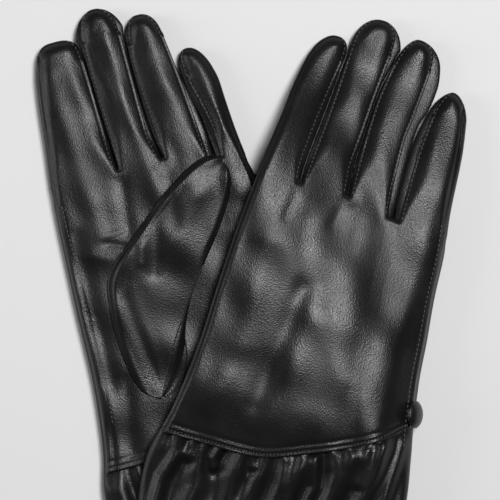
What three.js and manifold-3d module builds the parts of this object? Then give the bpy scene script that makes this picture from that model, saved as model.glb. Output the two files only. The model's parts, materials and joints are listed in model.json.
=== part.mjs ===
// A pair of smooth leather dress gloves with gathered cuffs, lying crossed in a V.
// The left glove lies palm up. The right glove lies back up, partly over the left one.
// Units are millimetres, +Z is up, and both gloves rest on the plane z = 0.
//
// Each glove is cut and sewn from flat leather. Every glove has its own plan axes:
// u runs across the hand from the index side (-) to the little finger side (+),
// v runs from the wrist towards the fingertips, and w is the height off the table.
import * as THREE from 'three';
import { mergeVertices } from 'three/addons/utils/BufferGeometryUtils.js';
import Module from 'manifold-3d';

const wasm = await Module();
wasm.setup();

// Driving dimensions.
const LEATHER = 1.0;
const LINING = 0.6;
const GAP = 0.3;
const HAND_THICKNESS = 10.5;
const FINGER_THICKNESS = 9.0;
const THUMB_THICKNESS = 7.5;
const FINGERTIP_THICKNESS = 4.4;
const LINING_INSET = LEATHER + 2.5 * GAP;
const LINING_SIDE_CLEARANCE = 1.5;
const CUFF_END = -70;
const BINDING_WIDTH = 4;
const BUTTON_RADIUS = 6.5;
const BUTTON_HEIGHT = 3.6;

// How each glove lies on the table.
const LEFT_PLACE = { x: -17.5, y: -49.7, turn: 16 };
const RIGHT_PLACE = { x: 14.4, y: -58.4, turn: -15 };

// Hand outlines as points [v, u], from the cuff's end to the finger roots.
const INDEX_SIDE = [[-72, -57.2], [-44, -57.7], [-31, -59.4], [-17, -58.8], [-1.6, -54.5], [15, -51.7],
  [35, -49.5], [66, -48], [92, -46.3], [126, -43.8]];
const LITTLE_SIDE = [[-72, 64], [-44, 63.5], [-12, 62.2], [9, 59], [20, 57], [43, 53.9], [62, 52.7],
  [81.5, 50.9], [102.5, 50], [122, 47.7]];

// The hem seam between hand and cuff as points [u, v]: it rises towards the little finger.
const HEM = [[-60, -9], [-32.6, -9.7], [-8.7, -9.1], [9.4, -2.8], [31, 6.4], [44, 13.7], [53, 20.4],
  [60, 25]];

// The line where the fingers leave the hand as points [u, v], for each glove.
const LEFT_ROOTS = [[-46, 126], [-11.4, 125], [11, 124.5], [33.5, 118.5], [50, 116]];
const RIGHT_ROOTS = [[-46, 118], [-23.3, 117.5], [-0.5, 117.3], [23, 112], [50, 112]];

// Each finger: plan point of its root and tip, widths there, and the sides that have a fourchette.
const LEFT_FINGERS = [
  { name: 'index', root: [-28.2, 126.5], tip: [-22.8, 190], rootWidth: 30, tipWidth: 21, walls: [1] },
  { name: 'middle', root: [-0.4, 126], tip: [-2.6, 200.5], rootWidth: 18.4, tipWidth: 16.5, walls: [-1, 1] },
  { name: 'ring', root: [21.7, 124], tip: [17.4, 192], rootWidth: 15.6, tipWidth: 17, walls: [-1, 1] },
  { name: 'little', root: [40.4, 119], tip: [37.6, 171], rootWidth: 14.6, tipWidth: 14, walls: [-1] },
];
const RIGHT_FINGERS = [
  { name: 'index', root: [-34.7, 119.5], tip: [-26.6, 188], rootWidth: 18.6, tipWidth: 16, walls: [1] },
  { name: 'middle', root: [-12.7, 119.3], tip: [-7.4, 200.5], rootWidth: 20, tipWidth: 16.5, walls: [-1, 1] },
  { name: 'ring', root: [9.7, 118], tip: [13.8, 196.5], rootWidth: 19, tipWidth: 18, walls: [-1, 1] },
  { name: 'little', root: [36.8, 114], tip: [35, 177], rootWidth: 21.5, tipWidth: 16, walls: [-1] },
];

// The thumb's plan outline, from the bottom of its sewn oval to its tip, and where it starts to swing.
const THUMB_OUTER = [[-24, 18], [-30.4, 26], [-33, 46], [-32.1, 65], [-27, 80], [-14.9, 91], [4, 106],
  [18, 115], [28, 119]];
const THUMB_INNER = [[-19, 18], [-14, 30], [-6, 43], [2.3, 52.8], [9, 62], [16, 71.6], [26, 85],
  [36, 98], [38.5, 111]];
const THUMB_SWING_AT = 5 / 8;
const THUMB_SWING_GAP = 0.008; // share of the thumb's length left open where it bends
const THUMB_HOLE = { u: -18, v: 52, across: 13, along: 31 };

// Heights that the right glove is raised by: its own thumb under the palm, and the left glove below it.
const THUMB_LIFT = THUMB_THICKNESS + 4 * GAP;
const CROSSING_LIFT = HAND_THICKNESS + 2 * GAP;

// Section shapes: the power of the flattened oval, 2 is an ellipse and more is squarer.
const HAND_POWER = 2.5;
const FINGER_POWER = 3;
const SEAM_ANGLE = 0.004;
const WALL_ANGLE = 0.3;

// ---------------------------------------------------------------- numbers and curves

// A smooth curve through points [x, y], read at x.
function curveThrough(points, x) {
  const last = points.length - 1;
  if (x <= points[0][0]) return points[0][1];
  if (x >= points[last][0]) return points[last][1];
  const slope = (i) => {
    const before = points[Math.max(i - 1, 0)];
    const after = points[Math.min(i + 1, last)];
    return (after[1] - before[1]) / (after[0] - before[0]);
  };
  let k = 0;
  while (x > points[k + 1][0]) k += 1;
  const [x0, y0] = points[k];
  const [x1, y1] = points[k + 1];
  const span = x1 - x0;
  const t = (x - x0) / span;
  const rise = t * t * (3 - 2 * t);
  const leave = (t * t * t - 2 * t * t + t) * span * slope(k);
  const arrive = (t * t * t - t * t) * span * slope(k + 1);
  return y0 + (y1 - y0) * rise + leave + arrive;
}

const { smoothstep, lerp, degToRad } = THREE.MathUtils;

// A power of the sine or cosine that keeps its sign, which squares off an oval.
function squared(value, power) {
  return Math.sign(value) * Math.abs(value) ** (2 / power);
}

// ---------------------------------------------------------------- how the gloves lie

function planToTable(place, u, v) {
  const angle = degToRad(place.turn);
  return [
    place.x + u * Math.cos(angle) - v * Math.sin(angle),
    place.y + u * Math.sin(angle) + v * Math.cos(angle),
  ];
}

function tableToPlan(place, x, y) {
  const angle = degToRad(place.turn);
  const dx = x - place.x;
  const dy = y - place.y;
  return [
    dx * Math.cos(angle) + dy * Math.sin(angle),
    -dx * Math.sin(angle) + dy * Math.cos(angle),
  ];
}

// The left glove lies flat on the table.
function leftLift() {
  return 0;
}

// The right glove drapes over its own thumb and over the left glove.
function rightLift(u, v) {
  const overThumb = smoothstep(v, -35, 20) * (1 - smoothstep(v, 120, 186)) * (1 - smoothstep(u, 38, 62));
  const [leftU, leftV] = tableToPlan(LEFT_PLACE, ...planToTable(RIGHT_PLACE, u, v));
  const besideLeft = leftU - curveThrough(LITTLE_SIDE, leftV);
  const belowLeft = CUFF_END - leftV;
  const overLeft = (1 - smoothstep(besideLeft, 0, 52)) * (1 - smoothstep(belowLeft, 3, 52));
  return THUMB_LIFT * overThumb + CROSSING_LIFT * overLeft;
}

// ---------------------------------------------------------------- sheets of leather

// A box whose vertices are moved by a function of (across, along, through), each from 0 to 1,
// so a sheet stays one closed solid whatever way it is bent.
function sheet(acrossSteps, alongSteps, place) {
  const box = new THREE.BoxGeometry(1, 1, 1, acrossSteps, alongSteps, 1);
  return bend(box, (x, y, z) => place(x + 0.5, y + 0.5, z + 0.5));
}

// Moves every vertex of a closed geometry and keeps its faces pointing outwards.
function bend(source, place) {
  source.deleteAttribute('normal');
  source.deleteAttribute('uv');
  const geometry = mergeVertices(source, 1e-5);
  const at = geometry.attributes.position;
  for (let i = 0; i < at.count; i += 1) {
    at.setXYZ(i, ...place(at.getX(i), at.getY(i), at.getZ(i)));
  }
  if (signedVolume(geometry) < 0) turnInsideOut(geometry);
  geometry.computeVertexNormals();
  return geometry;
}

function signedVolume(geometry) {
  const at = geometry.attributes.position;
  const index = geometry.index.array;
  const corner = [new THREE.Vector3(), new THREE.Vector3(), new THREE.Vector3()];
  let volume = 0;
  for (let i = 0; i < index.length; i += 3) {
    corner.forEach((point, k) => point.fromBufferAttribute(at, index[i + k]));
    volume += corner[0].dot(corner[1].cross(corner[2])) / 6;
  }
  return volume;
}

function turnInsideOut(geometry) {
  const index = geometry.index.array;
  for (let i = 0; i < index.length; i += 3) {
    [index[i], index[i + 1]] = [index[i + 1], index[i]];
  }
}

function toSolid(geometry) {
  return new wasm.Manifold(new wasm.Mesh({
    numProp: 3,
    vertProperties: new Float32Array(geometry.attributes.position.array),
    triVerts: new Uint32Array(geometry.index.array),
  }));
}

function cut(geometry, tool) {
  const mesh = toSolid(geometry).subtract(toSolid(tool)).getMesh();
  const result = new THREE.BufferGeometry();
  result.setAttribute('position', new THREE.BufferAttribute(mesh.vertProperties, 3));
  result.setIndex(new THREE.BufferAttribute(mesh.triVerts, 1));
  result.computeVertexNormals();
  return result;
}

// ---------------------------------------------------------------- one glove

// glove.side is +1 with the palm up and -1 with the back up. Local heights count from the
// middle of the hand towards the palm, and this turns them into heights off the table.
function place(glove, u, v, height) {
  return [u, v, HAND_THICKNESS / 2 + glove.lift(u, v) + glove.side * height];
}

// A point of the hand's flattened oval section, inset by some of its wall.
function handPoint(glove, v, angle, inset, restsOnTable) {
  const low = curveThrough(INDEX_SIDE, v);
  const high = curveThrough(LITTLE_SIDE, v);
  const sideInset = inset > LEATHER ? inset + LINING_SIDE_CLEARANCE : inset;
  const u = (low + high) / 2 + ((high - low) / 2 - sideInset) * squared(Math.cos(angle), HAND_POWER);
  const half = HAND_THICKNESS / 2 - inset;
  let height = half * squared(Math.sin(angle), HAND_POWER);
  if (restsOnTable) height = Math.max(-half, Math.min(half, height * 1.15));
  return [u, height];
}

// One face of the hand or cuff: palmFace is +1 for the palm and -1 for the back.
function handSheet(glove, palmFace, inset, wall, steps, from, to) {
  const underneath = palmFace !== glove.side;
  return sheet(steps[0], steps[1], (across, along, through) => {
    const angle = palmFace * lerp(SEAM_ANGLE, Math.PI - SEAM_ANGLE, across);
    const depth = inset + wall * through;
    const [straightU] = handPoint(glove, lerp(from(0), to(0), along), angle, depth, underneath);
    const v = lerp(from(straightU), to(straightU), along);
    const [u, height] = handPoint(glove, v, angle, depth, underneath);
    return place(glove, u, v, height);
  });
}

const hemAt = (u) => curveThrough(HEM, u);

function thumbHoleTool(glove) {
  const tool = new THREE.CylinderGeometry(1, 1, 1, 20, 1);
  return bend(tool, (x, y, z) => {
    const u = THUMB_HOLE.u + THUMB_HOLE.across * x;
    const v = THUMB_HOLE.v + THUMB_HOLE.along * z;
    return place(glove, u, v, HAND_THICKNESS / 2 + y * HAND_THICKNESS * 0.95);
  });
}

// The hand is an outer shell of leather with a lining just inside it, both cut round the thumb hole.
function handParts(glove) {
  const from = (u) => hemAt(u) + GAP / 2;
  const to = (u) => curveThrough(glove.roots, u) - GAP / 2;
  const hole = thumbHoleTool(glove);
  const steps = [10, 11];
  return {
    hand_back: handSheet(glove, -1, 0, LEATHER, steps, from, to),
    hand_palm: cut(handSheet(glove, 1, 0, LEATHER, steps, from, to), hole),
    lining_back: handSheet(glove, -1, LINING_INSET, LINING, steps, from, to),
    lining_palm: cut(handSheet(glove, 1, LINING_INSET, LINING, steps, from, to), hole),
  };
}

function cuffParts(glove) {
  const from = () => CUFF_END + BINDING_WIDTH + GAP;
  const to = (u) => hemAt(u) - GAP / 2;
  const steps = [10, 8];
  return {
    cuff_back: handSheet(glove, -1, 0, LEATHER, steps, from, to),
    cuff_palm: handSheet(glove, 1, 0, LEATHER, steps, from, to),
    cuff_lining_back: handSheet(glove, -1, LINING_INSET, LINING, steps, from, to),
    cuff_lining_palm: handSheet(glove, 1, LINING_INSET, LINING, steps, from, to),
    cuff_binding: cuffBinding(glove),
  };
}

// The band that finishes the cuff's mouth, a closed loop of four-sided section.
function cuffBinding(glove) {
  const corners = [[1, 0], [2, 0], [2, 1], [1, 1], [1, 0]];
  const loop = new THREE.LatheGeometry(corners.map(([x, y]) => new THREE.Vector2(x, y)), 28);
  return bend(loop, (x, y, z) => {
    const inset = (2 - Math.hypot(x, z)) * (LEATHER + LINING);
    const v = CUFF_END + y * BINDING_WIDTH;
    const [u, height] = handPoint(glove, v, Math.atan2(x, z), inset, false);
    return place(glove, u, v, height);
  });
}

// ---------------------------------------------------------------- fingers

// Width, thickness and plan point at a distance from 0 to 1 along a finger. The last third of the
// steps goes round the tip.
function fingerStation(finger, along) {
  const length = Math.hypot(finger.tip[0] - finger.root[0], finger.tip[1] - finger.root[1]);
  const tipLength = finger.tipWidth * 0.55;
  const straight = 1 - tipLength / length;
  const roundFrom = 0.62;
  const turn = Math.max(0, (along - roundFrom) / (1 - roundFrom)) * 1.3;
  const reach = along < roundFrom
    ? straight * (along / roundFrom)
    : straight + (1 - straight) * Math.sin(turn);
  const width = lerp(finger.rootWidth, finger.tipWidth, Math.min(1, reach / straight));
  const thinning = (FINGER_THICKNESS - FINGERTIP_THICKNESS) / 2;
  return {
    u: lerp(finger.root[0], finger.tip[0], reach),
    v: lerp(finger.root[1], finger.tip[1], reach),
    halfWidth: (width / 2) * Math.cos(turn),
    half: FINGER_THICKNESS / 2 - thinning * (1 - Math.cos(turn)) * 1.35,
  };
}

function fingerSheet(glove, finger, steps, fromAngle, toAngle, reach) {
  return sheet(steps[0], steps[1], (across, along, through) => {
    const station = fingerStation(finger, along * reach);
    const angle = lerp(fromAngle, toAngle, across);
    const inset = LEATHER * through;
    const u = station.u + (station.halfWidth - inset) * squared(Math.cos(angle), FINGER_POWER);
    const height = (station.half - inset) * squared(Math.sin(angle), FINGER_POWER);
    return place(glove, u, station.v, height);
  });
}

function fingerParts(glove, finger) {
  const edge = (side) => (finger.walls.includes(side) ? WALL_ANGLE + 0.075 : SEAM_ANGLE);
  const from = edge(1);
  const to = Math.PI - edge(-1);
  const parts = {
    [`${finger.name}_back`]: fingerSheet(glove, finger, [4, 8], -from, -to, 1),
    [`${finger.name}_palm`]: fingerSheet(glove, finger, [4, 8], from, to, 1),
  };
  for (const side of finger.walls) {
    const facing = side > 0 ? 0 : Math.PI;
    const name = `${finger.name}_fourchette_${side > 0 ? 'outer' : 'inner'}`;
    parts[name] = fingerSheet(glove, finger, [1, 7], facing - WALL_ANGLE, facing + WALL_ANGLE, 0.8);
  }
  return parts;
}

// ---------------------------------------------------------------- thumb

const thumbOuter = new THREE.SplineCurve(THUMB_OUTER.map(([u, v]) => new THREE.Vector2(u, v)));
const thumbInner = new THREE.SplineCurve(THUMB_INNER.map(([u, v]) => new THREE.Vector2(u, v)));

// A point across the thumb, from its outer edge at -1 to its inner edge at +1, inset by its wall.
function thumbPlan(along, across, inset) {
  const outer = thumbOuter.getPoint(along);
  const inner = thumbInner.getPoint(along);
  const centre = outer.clone().add(inner).multiplyScalar(0.5);
  const half = inner.clone().sub(outer).multiplyScalar(0.5);
  const width = half.length();
  return centre.add(half.multiplyScalar((across * Math.max(width - inset, 0.4)) / width));
}

const THUMB_FLOOR = HAND_THICKNESS / 2 + 2 * GAP;

// The sewn oval of the thumb: a dome over the thumb hole that opens into the swinging part.
function thumbBase(glove) {
  return sheet(5, 8, (across, along, through) => {
    const station = lerp(0.03, THUMB_SWING_AT - THUMB_SWING_GAP / 2, along);
    const angle = lerp(SEAM_ANGLE, Math.PI - SEAM_ANGLE, across);
    const inset = LEATHER * through;
    const crown = THUMB_THICKNESS * smoothstep(along, -0.35, 0.6);
    const plan = thumbPlan(station, squared(Math.cos(angle), FINGER_POWER), inset);
    const height = THUMB_FLOOR + (crown - inset) * squared(Math.sin(angle), FINGER_POWER);
    return place(glove, plan.x, plan.y, height);
  });
}

// One face of the swinging thumb: outward is +1 for the face away from the palm.
function thumbSheet(glove, outward) {
  return sheet(4, 7, (across, along, through) => {
    const turn = Math.max(0, (along - 0.5) / 0.5) * 1.15;
    const station = lerp(THUMB_SWING_AT + THUMB_SWING_GAP, 1, along);
    const angle = lerp(SEAM_ANGLE, Math.PI - SEAM_ANGLE, across);
    const inset = LEATHER * through;
    const half = THUMB_THICKNESS / 2 - (1 - Math.cos(turn)) * 1.6;
    const narrowing = 1 - 0.5 * (1 - Math.cos(turn));
    const plan = thumbPlan(station, narrowing * squared(Math.cos(angle), FINGER_POWER), inset);
    const rise = outward * (half - inset) * squared(Math.sin(angle), FINGER_POWER);
    return place(glove, plan.x, plan.y, THUMB_FLOOR + THUMB_THICKNESS / 2 + rise);
  });
}

// The small wedge of leather that lets the thumb move, between the thumb and its oval seam.
function thumbGusset(glove) {
  const seam = [[-17, 17], [-9.5, 23.5], [-4.2, 33], [1, 43], [4.6, 52]];
  const seamCurve = new THREE.SplineCurve(seam.map(([u, v]) => new THREE.Vector2(u, v)));
  return sheet(1, 6, (across, along, through) => {
    const inner = thumbInner.getPoint(lerp(0.03, 0.36, along));
    const outer = seamCurve.getPoint(along);
    const u = lerp(inner.x + 1, outer.x, across);
    const v = lerp(inner.y, outer.y, across);
    return place(glove, u, v, THUMB_FLOOR + LEATHER * through);
  });
}

function thumbParts(glove) {
  return {
    thumb_base: thumbBase(glove),
    thumb_front: thumbSheet(glove, 1),
    thumb_back: thumbSheet(glove, -1),
    thumb_gusset: thumbGusset(glove),
  };
}

// ---------------------------------------------------------------- covered button

const BUTTON_TILT = 58;

// A turned piece whose profile [radius, height] starts and ends on the button's axis.
function turned(profile, steps) {
  const points = profile.map(([radius, height]) => new THREE.Vector2(radius, height));
  return bend(new THREE.LatheGeometry(points, steps), (x, y, z) => [x, y, z]);
}

function buttonCap() {
  const rim = BUTTON_RADIUS;
  return turned([[0, 1], [rim - 1, 1], [rim, 1.8], [rim - 0.6, 2.8], [rim * 0.55, BUTTON_HEIGHT],
    [0, BUTTON_HEIGHT + 0.2]], 18);
}

function buttonBack() {
  const plate = BUTTON_RADIUS - 1.3;
  return turned([[0, -0.3], [1.3, -0.3], [1.5, 0.1], [plate, 0.2], [plate, 0.7], [0, 0.7]], 14);
}

function buttonThread(length) {
  return turned([[0, -length], [0.8, -length], [0.8, -0.6], [0, -0.6]], 8);
}

// ---------------------------------------------------------------- materials and assembly

const black = (name, roughness) => {
  const material = new THREE.MeshStandardMaterial({ color: 0x141416, roughness, metalness: 0 });
  material.name = name;
  return material;
};
const leather = black('leather', 0.42);
const edgeLeather = black('binding_leather', 0.5);
const buttonLeather = black('button_leather', 0.35);
const lining = new THREE.MeshStandardMaterial({ color: 0x1c1b1e, roughness: 0.9, metalness: 0 });
const thread = new THREE.MeshStandardMaterial({ color: 0x1a1a1c, roughness: 0.7, metalness: 0 });
const metal = new THREE.MeshStandardMaterial({ color: 0x777a7d, roughness: 0.35, metalness: 1 });

function materialFor(name) {
  if (name.includes('lining')) return lining;
  if (name === 'cuff_binding') return edgeLeather;
  if (name === 'button_cap') return buttonLeather;
  if (name === 'button_back') return metal;
  if (name === 'button_thread') return thread;
  return leather;
}

function addPart(group, glove, name, geometry) {
  const mesh = new THREE.Mesh(geometry, materialFor(name));
  mesh.name = `${glove.name}_${name}`;
  group.add(mesh);
}

function buildGlove(glove) {
  const group = new THREE.Group();
  const parts = { ...handParts(glove), ...cuffParts(glove), ...thumbParts(glove) };
  for (const finger of glove.fingers) Object.assign(parts, fingerParts(glove, finger));
  for (const [name, geometry] of Object.entries(parts)) addPart(group, glove, name, geometry);
  group.add(buildButton(glove));
  group.position.set(glove.place.x, glove.place.y, 0);
  group.rotation.z = degToRad(glove.place.turn);
  return group;
}

// The button stands on the side edge at the hem and looks outwards and upwards.
function buildButton(glove) {
  const { at, rise, turn, shank } = glove.button;
  const group = new THREE.Group();
  addPart(group, glove, 'button_cap', buttonCap());
  addPart(group, glove, 'button_back', buttonBack());
  addPart(group, glove, 'button_thread', buttonThread(shank));
  const [u, v] = at;
  const tilt = degToRad(BUTTON_TILT);
  group.position.set(u, v, HAND_THICKNESS / 2 + glove.lift(u, v) + rise);
  const outwards = new THREE.Vector3(Math.sin(tilt), 0, Math.cos(tilt));
  outwards.applyAxisAngle(new THREE.Vector3(0, 0, 1), degToRad(turn));
  group.quaternion.setFromUnitVectors(new THREE.Vector3(0, 1, 0), outwards);
  return group;
}

const gloves = [
  {
    name: 'left', side: 1, place: LEFT_PLACE, lift: leftLift, roots: LEFT_ROOTS, fingers: LEFT_FINGERS,
    button: { at: [58.3, 26.3], rise: 0, turn: 0, shank: 1.8 },
  },
  {
    name: 'right', side: -1, place: RIGHT_PLACE, lift: rightLift, roots: RIGHT_ROOTS,
    fingers: RIGHT_FINGERS, button: { at: [54.3, 27.5], rise: 4.6, turn: 15, shank: 1.6 },
  },
];

const pair = new THREE.Group();
for (const glove of gloves) pair.add(buildGlove(glove));

export default pair;
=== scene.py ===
"""A pair of black leather dress gloves with gathered cuffs, crossed in a V on a pale table.

The left glove lies palm up. The right glove lies back up, partly over it. Plan sizes are in
millimetres in each glove's own axes: u across the hand from the index side to the little finger
side, v from the wrist to the fingertips, and h the height above the middle of the flat glove.
"""

import json
import math

import bpy
import numpy as np
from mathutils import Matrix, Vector


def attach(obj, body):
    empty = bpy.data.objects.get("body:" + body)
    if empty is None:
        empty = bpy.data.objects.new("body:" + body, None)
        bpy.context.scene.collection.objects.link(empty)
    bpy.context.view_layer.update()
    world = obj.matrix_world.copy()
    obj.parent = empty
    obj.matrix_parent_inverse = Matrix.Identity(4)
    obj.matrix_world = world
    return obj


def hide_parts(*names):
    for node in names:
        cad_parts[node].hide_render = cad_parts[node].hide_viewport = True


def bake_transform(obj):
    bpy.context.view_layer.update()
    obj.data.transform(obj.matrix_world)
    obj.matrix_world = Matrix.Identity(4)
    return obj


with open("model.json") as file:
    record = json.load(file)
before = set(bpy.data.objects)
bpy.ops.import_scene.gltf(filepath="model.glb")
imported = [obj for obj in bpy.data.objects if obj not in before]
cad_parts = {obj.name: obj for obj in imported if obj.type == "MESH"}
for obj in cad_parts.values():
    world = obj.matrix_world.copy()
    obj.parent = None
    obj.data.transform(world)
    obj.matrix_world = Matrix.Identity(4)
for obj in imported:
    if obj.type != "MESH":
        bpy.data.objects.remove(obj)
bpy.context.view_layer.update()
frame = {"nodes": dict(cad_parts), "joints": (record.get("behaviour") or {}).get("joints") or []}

# ------------------------------------------------------------------ driving dimensions

MM = 0.001
LEATHER = 0.9
WALL_LEATHER = 0.7
LINING = 0.5
HAND_HALF = 5.25
FINGER_HALF = 4.5
THUMB_HEIGHT = 7.5
CUFF_END = -70.0
BINDING_WIDTH = 4.0
THUMB_LIFT = 8.7
CROSSING_LIFT = 11.1
STITCH_PITCH = 2.2
SEAM_INSET = 1.1
WALL_HALF = 1.3
RIM_WIDTH = 1.0
RIM_HEIGHT = 1.5

# Points [v, u] of the outlines: the index finger's side and the little finger's side.
INDEX_SIDE = [[-76, -57.2], [-44, -57.7], [-31, -59.4], [-17, -58.8], [-1.6, -54.5], [15, -51.7],
              [35, -49.5], [66, -48], [92, -46.3]]
LITTLE_SIDE = [[-76, 64], [-44, 63.5], [-12, 62.2], [9, 59], [20, 57], [43, 53.9], [62, 52.7],
               [81.5, 50.9], [102.5, 50]]
HEM = [[-64, -9], [-32.6, -9.7], [-8.7, -9.1], [9.4, -2.8], [31, 6.4], [44, 13.7], [53, 20.4], [62, 26]]

# Each finger's seams, then its tip. Past round_from the outline closes on the tip as a superellipse
# of the given power. reach is how far each side wall stands out where no finger is beside it, and
# share is its part of the gap to its neighbour's wall near its own tip.
LEFT = {
    "name": "left", "x": -17.5, "y": -49.7, "turn": 16, "palm_up": True,
    "roots": [[-50, 126], [-11.4, 125], [11, 124.5], [33.5, 118.5], [52, 116]],
    "index_side": INDEX_SIDE + [[108, -45.2], [126, -43.5], [143, -41], [161.7, -38.6], [175.6, -36.2],
                                [182, -34.4]],
    "little_side": LITTLE_SIDE + [[112, 48.6], [127.5, 47], [143, 46.2], [153.3, 45.8], [160, 44.4]],
    "fingers": [
        {"name": "index", "right": [[124, -11.6], [137, -12.2], [156, -12.3], [168, -12.3], [180, -12.6]],
         "tip": [-24.5, 190.4], "round_from": 180, "power": 3.0, "reach": [0, 0.8], "share": [0.5, 0.3]},
        {"name": "middle", "left": [[124, -10.4], [160, -11.2], [178.7, -11.2], [187, -10.8]],
         "right": [[124, 9.4], [131, 8], [139, 7], [163, 7.2], [185, 7.6], [187, 7.6]],
         "tip": [-2, 200.2], "round_from": 187, "power": 2.2, "reach": [4.2, 3.2], "share": [0.7, 0.5]},
        {"name": "ring",
         "left": [[123, 11.6], [131, 10.8], [146, 9.6], [160, 8.8], [171.7, 8.9], [181, 9.9]],
         "right": [[120, 31], [133, 30.4], [151, 29.2], [166, 28], [181, 26.4]],
         "tip": [17, 192], "round_from": 181, "power": 2.5, "reach": [2.4, 0], "share": [0.5, 0.1]},
        {"name": "little", "left": [[117, 37], [131, 36.4], [142, 34.6], [154, 32.0], [160, 31]],
         "tip": [35.0, 170.8], "round_from": 158, "power": 2.3, "reach": [2.4, 0], "share": [0.9, 0.5]},
    ],
}
RIGHT = {
    "name": "right", "x": 14.4, "y": -58.4, "turn": -15, "palm_up": False,
    "roots": [[-50, 118], [-23.3, 117.5], [-0.5, 117.3], [23, 112], [52, 112]],
    "index_side": INDEX_SIDE + [[107.6, -44.8], [127, -42.7], [147, -40], [157, -39], [167, -37.4],
                                [175, -35.7], [181, -33.6]],
    "little_side": LITTLE_SIDE + [[122, 47.7], [144, 46.6], [152, 46], [165, 44.2], [168, 43.6]],
    "fingers": [
        {"name": "index", "right": [[117, -24.4], [125, -25], [145, -23.2], [167, -20.4], [180, -18.4]],
         "tip": [-24.2, 188.4], "round_from": 179, "power": 2.3, "reach": [0, 0.6], "share": [0.5, 0.5]},
        {"name": "middle", "left": [[117, -22.6], [126, -21.9], [151, -19.2], [172, -17.6], [187, -16.9]],
         "right": [[117, -1.6], [131, -2.5], [149, -1.2], [168, 0.4], [184, 2.1], [190, 2.8]],
         "tip": [-5.5, 200.9], "round_from": 187, "power": 2.2, "reach": [0.8, 5.2], "share": [0.5, 0.95]},
        {"name": "ring", "left": [[117, 0.2], [125, 0], [148, 0.5], [164, 1.4], [178, 3.6], [186, 5.4]],
         "right": [[112, 19.9], [118, 19.2], [130, 18.5], [150, 18.5], [160, 19.8], [176, 21.5],
                   [186, 22.2]],
         "tip": [13.5, 196.5], "round_from": 185, "power": 2.2, "reach": [0.3, 5.9], "share": [0.1, 0.9]},
        {"name": "little", "left": [[111, 25.2], [122, 25.2], [138, 25.6], [151, 26.3], [165, 28]],
         "tip": [35, 176.8], "round_from": 165, "power": 2.0, "reach": [3.0, 0], "share": [0.4, 0.5]},
    ],
}

# ------------------------------------------------------------------ numbers and curves


def smoothstep(x, low, high):
    t = np.clip((np.asarray(x, float) - low) / (high - low), 0, 1)
    return t * t * (3 - 2 * t)


def lerp(a, b, t):
    return a + (b - a) * t


def curve_through(points, x):
    """A smooth curve through points [x, y], read at every x."""
    points = np.asarray(points, float)
    px, py = points[:, 0], points[:, 1]
    x = np.clip(np.asarray(x, float), px[0], px[-1])
    slope = np.empty(len(px))
    slope[1:-1] = (py[2:] - py[:-2]) / (px[2:] - px[:-2])
    slope[0] = (py[1] - py[0]) / (px[1] - px[0])
    slope[-1] = (py[-1] - py[-2]) / (px[-1] - px[-2])
    k = np.clip(np.searchsorted(px, x, side="right") - 1, 0, len(px) - 2)
    span = px[k + 1] - px[k]
    t = (x - px[k]) / span
    rise = t * t * (3 - 2 * t)
    leave = (t ** 3 - 2 * t * t + t) * span * slope[k]
    arrive = (t ** 3 - t * t) * span * slope[k + 1]
    return py[k] + (py[k + 1] - py[k]) * rise + leave + arrive


def spline(points, t):
    """A Catmull-Rom curve through plan points, read at every t from 0 to 1."""
    points = np.asarray(points, float)
    steps = np.linspace(0, 1, len(points))
    return np.stack([curve_through(np.stack([steps, points[:, axis]], 1), t) for axis in (0, 1)], -1)


def distance_to(path, u, v):
    """How far each plan point is from a path of plan points."""
    path = np.asarray(path, float)
    best = np.full(np.shape(u), 1e9)
    for (u0, v0), (u1, v1) in zip(path[:-1], path[1:]):
        du, dv = u1 - u0, v1 - v0
        t = np.clip(((u - u0) * du + (v - v0) * dv) / max(du * du + dv * dv, 1e-12), 0, 1)
        best = np.minimum(best, np.hypot(u - u0 - t * du, v - v0 - t * dv))
    return best


# ------------------------------------------------------------------ how the gloves lie


def both_sides(glove, v):
    """The plan u of the index finger's side and of the little finger's side at v."""
    return curve_through(glove["index_side"], v), curve_through(glove["little_side"], v)


def to_table(glove, u, v):
    angle = math.radians(glove["turn"])
    x = glove["x"] + u * math.cos(angle) - v * math.sin(angle)
    y = glove["y"] + u * math.sin(angle) + v * math.cos(angle)
    return x, y


def to_plan(glove, x, y):
    angle = math.radians(glove["turn"])
    dx, dy = x - glove["x"], y - glove["y"]
    return dx * math.cos(angle) + dy * math.sin(angle), -dx * math.sin(angle) + dy * math.cos(angle)


def lift(glove, u, v):
    """How far the middle of the glove is raised: the right glove lies over its thumb and the left glove."""
    if glove is LEFT:
        return np.zeros(np.broadcast(u, v).shape)
    over_thumb = smoothstep(v, -35, 20) * (1 - smoothstep(v, 120, 186)) * (1 - smoothstep(u, 38, 62))
    left_u, left_v = to_plan(LEFT, *to_table(RIGHT, u, v))
    beside = left_u - curve_through(LITTLE_SIDE, left_v)
    below = CUFF_END - left_v
    over_left = (1 - smoothstep(beside, 0, 52)) * (1 - smoothstep(below, 3, 52))
    return THUMB_LIFT * over_thumb + CROSSING_LIFT * over_left


def place(glove, u, v, h):
    """Plan points and heights as points in the frame, in metres."""
    x, y = to_table(glove, u, v)
    z = HAND_HALF + lift(glove, u, v) + h
    return np.stack(np.broadcast_arrays(x, y, z), -1) * MM


# ------------------------------------------------------------------ outlines


def side_edge(glove, finger, side, v):
    """The plan u of one edge of a finger, -1 for the index side and +1 for the little side."""
    if side < 0:
        points = finger.get("left", glove["index_side"])
    else:
        points = finger.get("right", glove["little_side"])
    (v0, u0), (v1, u1) = points[-2:]
    return curve_through(points, v) + np.maximum(v - v1, 0) * (u1 - u0) / (v1 - v0)


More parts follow.
